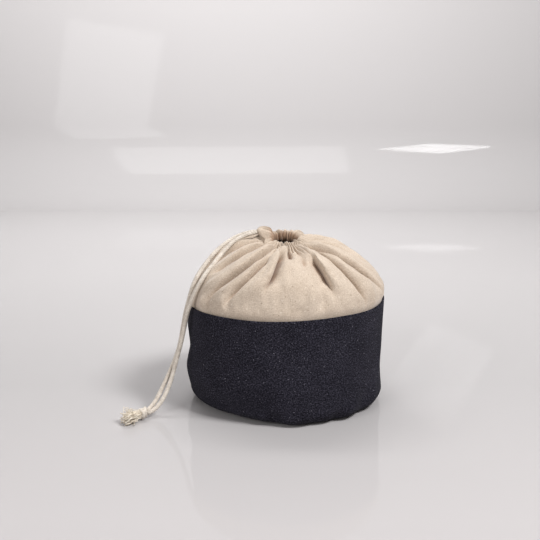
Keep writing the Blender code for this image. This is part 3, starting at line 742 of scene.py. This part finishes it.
def fray_tree():
    """Grows strands from the points of a cut end: each leans out, waves, droops and thins."""
    nodes, names, given = growth_tree("combed_ends", {
        "Length": ("Float", 0.02),
        "Radius": ("Float", 0.0005),
        "Spread": ("Float", 1.4),
        "Wave": ("Float", 0.002),
        "Lift": ("Float", -0.001),
        "Seed": ("Int", 1),
        "Cotton": ("Material", None),
    })
    roots = nodes.node("GeometryNodeMeshToPoints", values={"Mesh": given["Geometry"]})
    root = nodes.node("GeometryNodeInputPosition")
    kept = nodes.node(
        "GeometryNodeStoreNamedAttribute", {"data_type": "FLOAT_VECTOR", "domain": "POINT"},
        {"Geometry": roots, "Name": "root", "Value": root},
    )
    line = nodes.node("GeometryNodeCurvePrimitiveLine", values={"End": (1.0, 0.0, 0.0)})
    many = nodes.node("GeometryNodeResampleCurve", values={"Curve": line, "Count": FIBRE_POINTS})
    grown = nodes.node("GeometryNodeInstanceOnPoints", values={"Points": kept, "Instance": many})
    real = nodes.node("GeometryNodeRealizeInstances", values={"Geometry": grown})
    share = nodes.node("GeometryNodeSplineParameter", out="Factor")
    settings = {"data_type": "FLOAT_VECTOR"}
    home = nodes.node("GeometryNodeInputNamedAttribute", settings, {"Name": "root"}, out="Attribute")
    nth = nodes.node("GeometryNodeInputIndex") / float(FIBRE_POINTS)
    fibre = nth.operate("FLOOR", nth)
    drawn = {"ID": fibre, "Seed": given["Seed"]}
    values = {"Min": SHORTEST_SHARE, "Max": 1.0, **drawn}
    chance = nodes.node("FunctionNodeRandomValue", {"data_type": "FLOAT"}, values, out=1)
    values = {"Min": (0.0, -1.0, -1.0), "Max": (0.0, 1.0, 1.0), **drawn}
    lone = nodes.node("FunctionNodeRandomValue", settings, values)
    x, y, z = nodes.parts(home)
    open_up = (given["Spread"] - 1.0) * share + 1.0
    reach = share * given["Length"] * chance
    square = share * share
    values = {0: reach + x, 1: y * open_up, 2: square * given["Lift"] + z * open_up}
    target = nodes.node("ShaderNodeCombineXYZ", values=values)
    amount = (share * WAVE_TURN + fibre).sine() * given["Wave"] * share
    sway = nodes.node("ShaderNodeVectorMath", {"operation": "SCALE"}, {"Vector": lone, "Scale": amount})
    bent = nodes.node("ShaderNodeVectorMath", {"operation": "ADD"}, {0: target, 1: sway})
    laid = nodes.node("GeometryNodeSetPosition", values={"Geometry": real, "Position": bent})
    values = {"Curve": laid, "Radius": square * TIP_THINNING + 1.0}
    sized = nodes.node("GeometryNodeSetCurveRadius", values=values)
    values = {"Resolution": FIBRE_SIDES, "Radius": given["Radius"]}
    ring = nodes.node("GeometryNodeCurvePrimitiveCircle", values=values)
    sweep_out(nodes, sized, ring, given["Cotton"])
    return nodes.tree, names


GOLDEN_TURN = 137.508
FRAY_TUCK = 1.0

# One row for each kind of strand in the frayed ends, in millimetres
TuftRow = namedtuple("TuftRow", "name count root_radius length radius spread wave lift seed")
TUFT_ROWS = (
    TuftRow("yarns", 46, 3.9, 22.5, 0.56, 1.65, 5.0, -1.6, 3),
    TuftRow("fibres", 44, 4.2, 22.0, 0.26, 1.8, 8.0, -0.6, 8),
    TuftRow("strays", 16, 3.4, 20.0, 0.2, 1.7, 7.0, 8.0, 5),
)
FLOOR_CLEARANCE = 0.1


def comb_fray(cotton):
    tree, names = fray_tree()
    start = 0.5 * KNOT_LENGTH - FRAY_TUCK
    tufts = []
    for row in TUFT_ROWS:
        roots = []
        for number in range(row.count):
            radius = row.root_radius * ((number + 0.5) / row.count) ** 0.5
            angle = radians(GOLDEN_TURN * number)
            roots.append((start * MM, radius * cos(angle) * MM, radius * sin(angle) * MM))
        mesh = bpy.data.meshes.new(row.name)
        mesh.from_pydata(roots, [], [])
        source = add_object(row.name, mesh)
        settings = {
            names["Length"]: row.length * MM,
            names["Radius"]: row.radius * MM,
            names["Spread"]: row.spread,
            names["Wave"]: row.wave * MM,
            names["Lift"]: row.lift * MM,
            names["Seed"]: row.seed,
            names["Cotton"]: cotton,
        }
        tufts.append(grown_mesh("fray_" + row.name, source, tree, settings))
    fray = join_pieces("frayed_ends", tufts)
    points = np.empty(len(fray.data.vertices) * 3)
    fray.data.vertices.foreach_get("co", points)
    points = points.reshape(-1, 3) / MM
    placed = knot_place(points)
    placed[:, 2] = np.maximum(placed[:, 2], FLOOR_CLEARANCE * MM)
    fray.data.vertices.foreach_set("co", placed.ravel())
    fray.data.update()
    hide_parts("drawcord_fray")
    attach(fray, "root")
    return fray


def join_pieces(name, pieces):
    """Several mesh objects as one, under a new name."""
    with bpy.context.temp_override(
        active_object=pieces[0], object=pieces[0], selected_objects=pieces, selected_editable_objects=pieces
    ):
        bpy.ops.object.join()
    pieces[0].name = name
    pieces[0].data.name = name
    return pieces[0]


# Cloth


def closed_sheet(name, outer, inner, flat_u, flat_v, finish):
    """Closed cloth from two grids of points [row, column], with its edges rounded over."""
    rows = list(outer)
    texture = list(flat_v)
    for end in (-1, 0):
        middle = 0.5 * (outer[end] + inner[end])
        half = outer[end] - middle
        step = outer[end] - outer[end - 1 if end else 1]
        length = np.linalg.norm(step, axis=1, keepdims=True)
        outward = step / length * np.linalg.norm(half, axis=1, keepdims=True)
        turned = []
        for number in range(1, EDGE_STEPS):
            turn = pi * number / EDGE_STEPS
            turned.append(middle + half * cos(turn) + outward * sin(turn))
        if end == -1:
            rows += turned
            texture += [flat_v[-1]] * len(turned)
            rows += list(inner[::-1])
            texture += list(flat_v[::-1])
        else:
            rows += turned[::-1]
            texture += [flat_v[0]] * len(turned)
    points = np.concatenate(rows) * MM
    height = len(rows)
    count = outer.shape[1]
    row = np.arange(height)[:, None]
    column = np.arange(count)[None, :]
    above = (row + 1) % height
    aside = (column + 1) % count
    corners = (row * count + column, row * count + aside, above * count + aside, above * count + column)
    faces = np.stack(corners, -1).reshape(-1, 4)
    mesh = bpy.data.meshes.new(name)
    mesh.from_pydata(points, [], faces.tolist())
    across = np.append(flat_u, flat_u[0] + WALL_FLAT[0])
    texture = np.append(np.asarray(texture), texture[0])
    uv = mesh.uv_layers.new(name="cloth")
    flat = np.empty((height, count, 4, 2))
    for corner, (step_u, step_v) in enumerate(((0, 0), (1, 0), (1, 1), (0, 1))):
        flat[:, :, corner, 0] = across[None, step_u:step_u + count]
        flat[:, :, corner, 1] = texture[step_v:step_v + height, None]
    uv.data.foreach_set("uv", flat.ravel())
    mesh.shade_smooth()
    mesh.materials.append(finish)
    mesh.validate()
    return add_object(name, mesh)


def round_points(radius, angle, height):
    turn = np.radians(angle)
    return np.stack((radius * np.cos(turn), radius * np.sin(turn), height), -1)


def section_normals(radius, height):
    """Outward normals of every column's line in a grid [row, column], in its own plane."""
    run = np.gradient(radius, axis=0)
    rise = np.gradient(height, axis=0)
    size = np.hypot(run, rise)
    return rise / size, -run / size


# Soft dents and ridges of the denim: place round and up, reach round and up, and height,
# in degrees and millimetres, a dent below zero
DentRow = namedtuple("DentRow", "angle height round_reach up_reach rise")
DENT_ROWS = (
    DentRow(-96.5, 10.0, 4.0, 5.0, -5.0),
    DentRow(-104.0, 7.0, 4.0, 6.0, 1.8),
    DentRow(-86.0, 4.0, 5.0, 6.0, 2.6),
    DentRow(-80.0, 24.0, 3.5, 22.0, 1.6),
    DentRow(-74.0, 24.0, 4.0, 26.0, -1.8),
    DentRow(-60.0, 7.0, 4.0, 8.0, -3.0),
    DentRow(-52.0, 10.0, 4.0, 9.0, 2.4),
    DentRow(-40.0, 14.0, 4.0, 12.0, -3.4),
    DentRow(-28.0, 20.0, 4.0, 14.0, 2.0),
    DentRow(-128.0, 14.0, 6.0, 12.0, -1.8),
    DentRow(-13.0, 58.0, 3.5, 26.0, -2.0),
    DentRow(-20.0, 56.0, 3.5, 24.0, 1.4),
    DentRow(-166.0, 46.0, 3.0, 26.0, -2.0),
    DentRow(-174.0, 74.0, 6.0, 14.0, -2.4),
    DentRow(-160.0, 68.0, 6.0, 26.0, 1.2),
    DentRow(-40.0, 50.0, 18.0, 24.0, -0.9),
    DentRow(-120.0, 60.0, 22.0, 26.0, -0.8),
    DentRow(30.0, 55.0, 20.0, 26.0, -1.0),
    DentRow(75.0, 40.0, 16.0, 22.0, 0.9),
    DentRow(120.0, 66.0, 20.0, 24.0, -1.0),
    DentRow(160.0, 44.0, 15.0, 20.0, -0.8),
)


def denim_wall(denim):
    angles = 360.0 * np.arange(WALL_COLUMNS) / WALL_COLUMNS - 180.0
    radius = []
    height = []
    foot = wall_values("foot", angles)
    lift = wall_values("seam_lift", angles)
    for step in range(CORNER_STEPS):
        turn = 0.5 * pi * step / CORNER_STEPS
        radius.append(SEAM_RADIUS + (foot - SEAM_RADIUS) * sin(turn))
        height.append(lift + (FOOT_HEIGHT - lift) * (1.0 - cos(turn)))
    fields = [wall_values(name, angles) for name in ("foot", "belly", "waist", "shoulder", "rim")]
    rim_height = wall_values("rim_height", angles)
    share = np.linspace(0.0, 1.0, WALL_STEPS + 1)
    upright = FOOT_HEIGHT + (rim_height[None, :] - FOOT_HEIGHT) * share[:, None]
    reach = np.empty_like(upright)
    for column in range(WALL_COLUMNS):
        places = (FOOT_HEIGHT, BELLY_HEIGHT, WAIST_HEIGHT, SHOULDER_HEIGHT, rim_height[column])
        reach[:, column] = smooth_values(places, [field[column] for field in fields], upright[:, column])
    radius = np.concatenate((np.array(radius), reach))
    height = np.concatenate((np.array(height), upright))
    for row in DENT_ROWS:
        away = wrap(angles[None, :] - row.angle) / row.round_reach
        up = (height - row.height) / row.up_reach
        radius = radius + row.rise * np.exp(-(away * away) - up * up)
    out, up = section_normals(radius, height)
    outer = round_points(radius, angles[None, :], height)
    inner = round_points(radius - out * DENIM_THICKNESS, angles[None, :], height - up * DENIM_THICKNESS)
    flat_u = (angles + 180.0) / 360.0 * WALL_FLAT[0]
    length = np.hypot(np.diff(radius.mean(1)), np.diff(height.mean(1)))
    flat_v = np.append(0.0, np.cumsum(length)) * MM
    wall = closed_sheet("denim_band", outer, inner, flat_u, flat_v, denim)
    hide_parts("denim_wall")
    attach(wall, "root")
    return wall


def all_valleys():
    """Every valley of the linen as (mouth angle, rim angle, main fold or None)."""
    valleys = []
    count = len(FOLD_ROWS)
    for index, fold in enumerate(FOLD_ROWS):
        following = FOLD_ROWS[(index + 1) % count]
        turn = 360.0 if index == count - 1 else 0.0
        valleys.append((fold.mouth, fold.rim, fold))
        for number in range(fold.gathers):
            share = (number + 1.0) / (fold.gathers + 1.0)
            mouth = fold.mouth + (following.mouth + turn - fold.mouth) * share
            rim = fold.rim + (following.rim + turn - fold.rim) * share
            valleys.append((mouth, rim, None))
    return valleys


def fan(mouth, rim, radius):
    """Angle of a fold line at a radius: it swings from its mouth angle to its rim angle."""
    return mouth + (rim - mouth) * np.minimum(radius / FAN_RADIUS, 1.0) ** FAN_POWER


def linen_columns(valleys):
    """Mouth and rim angles of the columns, closer together near each valley."""
    mouths = []
    rims = []
    numbers = []
    shares = []
    count = len(valleys)
    for index, (mouth, rim, _) in enumerate(valleys):
        following = valleys[(index + 1) % count]
        turn = 360.0 if index == count - 1 else 0.0
        for step in range(LINEN_COLUMNS_PER_VALLEY):
            even = step / LINEN_COLUMNS_PER_VALLEY
            share = EVEN_SHARE * even + (1.0 - EVEN_SHARE) * (0.5 - 0.5 * cos(pi * even))
            mouths.append(mouth + (following[0] + turn - mouth) * share)
            rims.append(rim + (following[1] + turn - rim) * share)
            numbers.append(index)
            shares.append(share)
    return np.array(mouths), np.array(rims), (np.array(numbers), np.array(shares))


def dome_climb():
    """Length of cloth from the tuck up to each level of the dome's table."""
    lengths = [0.0]
    for before, after in zip(DOME_ROWS, DOME_ROWS[1:]):
        lengths.append(lengths[-1] + hypot(after.radius - before.radius, after.height - before.height))
    return np.array(lengths)


# Small gathers between the main folds, and the crest beside a fold's sharp line, in millimetres
GATHER_ROUNDNESS = 0.62
GATHER_UNEVEN = 0.55
GATHER_TURN = 2.4
GATHER_REACH = 66.0
GATHER_REACH_UNEVEN = 16.0
GATHER_REACH_TURN = 1.7
GATHER_REACH_START = 0.6
GATHER_FADE = 30.0
LEAN_REACH = 2.0
CREASE_WIDTH = 2.4
CREST_PLACE = 6.5
CREST_WIDTH = 3.5
CREST_RISE = 0.55
MOST_CREST_TUCK = 3.6
CREST_LAP = 0.6
TOP_FADE = 16.0

# Wrinkles fade in between two climbs and two radii, and come and go in patches
WRINKLE_SEED = 11
WRINKLE_WAVES = 46
WRINKLE_LENGTHS = (7.0, 26.0)
WRINKLE_HEADINGS = 0.55
WRINKLE_RISE = 0.55
WRINKLE_CLIMBS = (0.0, 12.0)
WRINKLE_RADII = (26.0, 60.0)
PATCH_ACROSS = (18.0, 40.0)
PATCH_CLIMB = (14.0, 30.0)
PATCH_START = (0.0, 6.0)
WAVES_IN_STEP = 8.0

# The uneven lip, as rows of millimetres, waves round the mouth and start in radians
LIP_RADII = (18.0, 27.0)
LIP_OUT = ((0.7, 17.0, 1.1), (0.5, 9.0, 0.0))
LIP_UP = ((0.8, 13.0, 0.7), (0.6, 22.0, 2.0))
LIP_ASIDE = ((1.4, 5.0, 0.4), (1.0, 11.0, 2.0))

# Painted shade: a darker, brown cloth colour by depth of fold, and from level to level inside the mouth
PAINTED_SHADE_SHARE = 0.75
PAINTED_SHADE_DEPTHS = (5.0, 14.0)
PAINTED_INSIDE_SHADE_SHARE = 0.75
PAINTED_INSIDE_SHADE_LEVELS = (15, 17)

MOUTH_LEVEL = 9
LINEN_FLAT_START = -190.0


def wrinkles(across, climb):
    """Small uneven waves of the cloth, mostly along its folds, in millimetres."""
    chance = np.random.default_rng(WRINKLE_SEED)
    rise = np.zeros(np.broadcast_shapes(across.shape, climb.shape))
    for _ in range(WRINKLE_WAVES):
        length = chance.uniform(*WRINKLE_LENGTHS)
        heading = chance.normal(0.0, WRINKLE_HEADINGS)
        start = chance.uniform(0.0, 2.0 * pi)
        phase = 2.0 * pi / length * (across * cos(heading) + climb * sin(heading))
        patch = np.sin(across / chance.uniform(*PATCH_ACROSS) + chance.uniform(*PATCH_START))
        patch = patch * np.sin(climb / chance.uniform(*PATCH_CLIMB) + chance.uniform(*PATCH_START))
        rise += patch * np.sin(phase + start) * length / WRINKLE_LENGTHS[1]
    return rise * WRINKLE_RISE / np.sqrt(WRINKLE_WAVES / WAVES_IN_STEP)


def gather_depth(radius, gather, columns, count):
    """Round pleats with a sharp valley between each two, in millimetres."""
    number, share = columns
    waist = 1.0 - np.abs(np.sin(pi * share)) ** GATHER_ROUNDNESS
    nearest = np.where(share < 0.5, number, (number + 1) % count)
    uneven = 1.0 + GATHER_UNEVEN * np.sin(GATHER_TURN * nearest)
    swing = np.sin(GATHER_REACH_TURN * nearest + GATHER_REACH_START)
    reach = GATHER_REACH + GATHER_REACH_UNEVEN * swing
    fade = 1.0 - smoothstep(reach[None, :] - GATHER_FADE, reach[None, :], radius)
    return gather * uneven[None, :] * waist[None, :] * fade


def folded(angle, radius, climb, gather, columns, valleys):
    """How far the linen is drawn in and tucked sideways at each place of a grid, in millimetres."""
    pitch = 2.0 * pi * radius / len(valleys)
    depth = gather_depth(radius, gather, columns, len(valleys))
    aside = np.zeros_like(depth)
    for mouth, rim, fold in valleys:
        if fold is None:
            continue
        away = np.radians(wrap(angle - fan(mouth, rim, radius))) * radius
        amount = smoothstep(fold.low, fold.full, climb)
        amount = amount * (1.0 - smoothstep(fold.top, fold.top + TOP_FADE, climb))
        amount = amount * smoothstep(CASING_RADIUS, OPEN_DOME_RADIUS, radius)
        width = np.minimum(fold.width, MAIN_WIDTH_SHARE * 2.0 * pitch)
        width = width * (1.0 + fold.lean * np.tanh(away / LEAN_REACH))
        slope = np.exp(-((np.abs(away) / width) ** CREASE_POWER))
        bottom = np.exp(-((np.abs(away) / CREASE_WIDTH) ** CREASE_POWER))
        crest = np.exp(-(((away * np.sign(fold.tuck) - CREST_PLACE) / CREST_WIDTH) ** 2))
        depth += amount * (fold.depth * slope + fold.crease * bottom)
        depth -= amount * CREST_RISE * min(abs(fold.tuck), MOST_CREST_TUCK) * crest
        aside += amount * fold.tuck * (bottom - CREST_LAP * crest)
    return depth, aside


def lump_rise(rims, radius, climb):
    """How far lumps and pinches stand out at each place of a grid, in millimetres."""
    rise = np.zeros(np.broadcast_shapes(rims.shape, radius.shape))
    for row in LUMP_ROWS:
        away = np.radians(wrap(rims - row.angle)) * radius / row.round_reach
        up = (climb - row.climb) / row.climb_reach
        rise += row.rise * np.exp(-(away * away) - up * up)
    return rise


def lip_waves(rows, turn):
    return sum(amount * np.sin(count * turn + start) for amount, count, start in rows)


def painted_fold_shade(drawn, levels, stations):
    """Share of the painted shade colour: deep in the folds and inside the mouth."""
    low, high = (levels[level] for level in PAINTED_INSIDE_SHADE_LEVELS)
    inside = PAINTED_INSIDE_SHADE_SHARE * smoothstep(low, high, stations)[:, None]
    return np.maximum(PAINTED_SHADE_SHARE * smoothstep(*PAINTED_SHADE_DEPTHS, drawn), inside)


def linen_top(linen):
    valleys = all_valleys()
    mouths, rims, columns = linen_columns(valleys)
    levels = dome_climb()
    mouth_start = levels[MOUTH_LEVEL]
    mouth_count = int(LINEN_STATIONS * MOUTH_STATION_SHARE)
    stations = np.concatenate((
        np.linspace(0.0, mouth_start, LINEN_STATIONS - mouth_count, endpoint=False),
        np.linspace(mouth_start, levels[-1], mouth_count),
    ))
    table = {name: [getattr(row, name) for row in DOME_ROWS] for name in DomeRow._fields}
    at = {name: smooth_values(levels, values, stations)[:, None] for name, values in table.items()}
    climb = np.maximum(stations - levels[RIM_LEVEL], 0.0)[:, None]
    angle = fan(mouths[None, :], rims[None, :], at["radius"])
    ear = np.exp(-(np.abs(wrap(angle - EAR_ANGLE) / EAR_SPREAD) ** EAR_POWER))
    rim_radius = wall_values("rim", angle) - MEAN_RIM_RADIUS
    rim_height = wall_values("rim_height", angle) - MEAN_RIM_HEIGHT
    side = np.cos(np.radians(angle))
    back = np.sin(np.radians(angle))
    radius = at["radius"] + at["follow"] * rim_radius + at["skew"] * side + at["ear_out"] * ear
    height = at["height"] + at["follow"] * rim_height + at["tilt"] * back + at["ear_up"] * ear
    lip = 1.0 - smoothstep(*LIP_RADII, at["radius"])
    turn = np.radians(angle)
    radius = radius + lip * lip_waves(LIP_OUT, turn)
    height = height + lip * lip_waves(LIP_UP, turn)
    out, up = section_normals(radius, height)
    drawn, aside = folded(angle, at["radius"], climb, at["gather"], columns, valleys)
    drawn -= lump_rise(rims[None, :], at["radius"], climb)
    smooth_part = smoothstep(*WRINKLE_CLIMBS, climb) * smoothstep(*WRINKLE_RADII, at["radius"])
    drawn -= wrinkles(np.radians(rims[None, :]) * RIM_FAN_WIDTH, climb) * smooth_part
    aside = aside + lip * lip_waves(LIP_ASIDE, turn)
    angle = angle + np.degrees(aside / at["radius"])
    outer = round_points(radius - out * drawn, angle, height - up * drawn)
    deep = drawn + LINEN_SHEET
    inner = round_points(radius - out * deep, angle, height - up * deep)
    flat_u = (0.5 * (mouths + rims) - LINEN_FLAT_START) / 360.0 * WALL_FLAT[0]
    top = closed_sheet("linen_gathers", outer, inner, flat_u, stations * MM, linen)
    # Painted shade, stored on the points and read by the linen's colour
    shade = painted_fold_shade(drawn, levels, stations)
    hem = np.repeat(shade[-1:], EDGE_STEPS - 1, axis=0)
    foot = np.repeat(shade[:1], EDGE_STEPS - 1, axis=0)
    layer = top.data.attributes.new("painted_fold_shade", "FLOAT", "POINT")
    layer.data.foreach_set("value", np.concatenate((shade, hem, shade[::-1], foot)).ravel())
    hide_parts("linen_top")
    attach(top, "root")
    return top


def dress_base(denim):
    base = bpy.data.objects["denim_base"]
    for slot in base.material_slots:
        slot.material = denim


def main():
    place_camera()
    cotton = cotton_finish("cotton_cord", COTTON_DARK, COTTON_LIGHT)
    plied = cord_tree()
    knot = tie_knot(plied, cotton)
    # The fray gets the cord's cotton painted paler, as painted light
    fray = comb_fray(cotton_finish("cotton_fibres_painted_light", FRAY_DARK, FRAY_LIGHT))
    cord_strand(
        "cord_front_strand", FRONT_ROUTE, "drawcord_front", plied, cotton
    )
    cord_strand("cord_back_strand", BACK_ROUTE, "drawcord_back", plied, cotton)
    denim_wall(denim_finish("denim_wall_cloth", False))
    dress_base(denim_finish("denim_base_cloth", True))
    linen_top(linen_finish())
    lay_floor(floor_finish())
    light_scene()


main()
